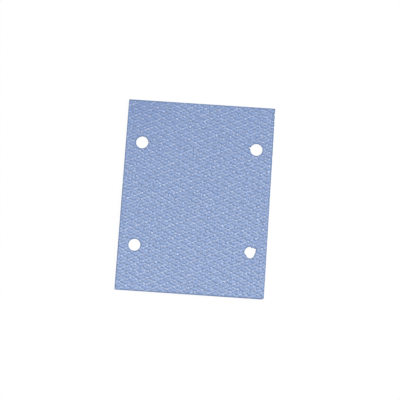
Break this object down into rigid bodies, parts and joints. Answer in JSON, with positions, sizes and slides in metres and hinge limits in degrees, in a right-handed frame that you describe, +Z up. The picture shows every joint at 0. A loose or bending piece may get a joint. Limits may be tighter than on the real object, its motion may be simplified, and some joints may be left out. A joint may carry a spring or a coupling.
{
  "type": "thermal pad sheet",
  "caption": "Flat rectangular sheet of blue ceramic-filled silicone, diamond-embossed, with screw clearance holes near its corners, to fill the gap between a circuit module and its heatsink",
  "frame": {"origin": "middle of the underside, which lies on the surface", "axes": "+X across the sheet to the right, +Y along the sheet to its far edge, +Z up through its thickness"},
  "size_m": [0.04, 0.052, 0.001],
  "materials": {
    "silicone": "soft pale blue ceramic-filled silicone with a fine raised diamond net and a slight sheen"
  },
  "bodies": {
    "root": {"thermal_pad": "silicone"}
  },
  "joints": []
}
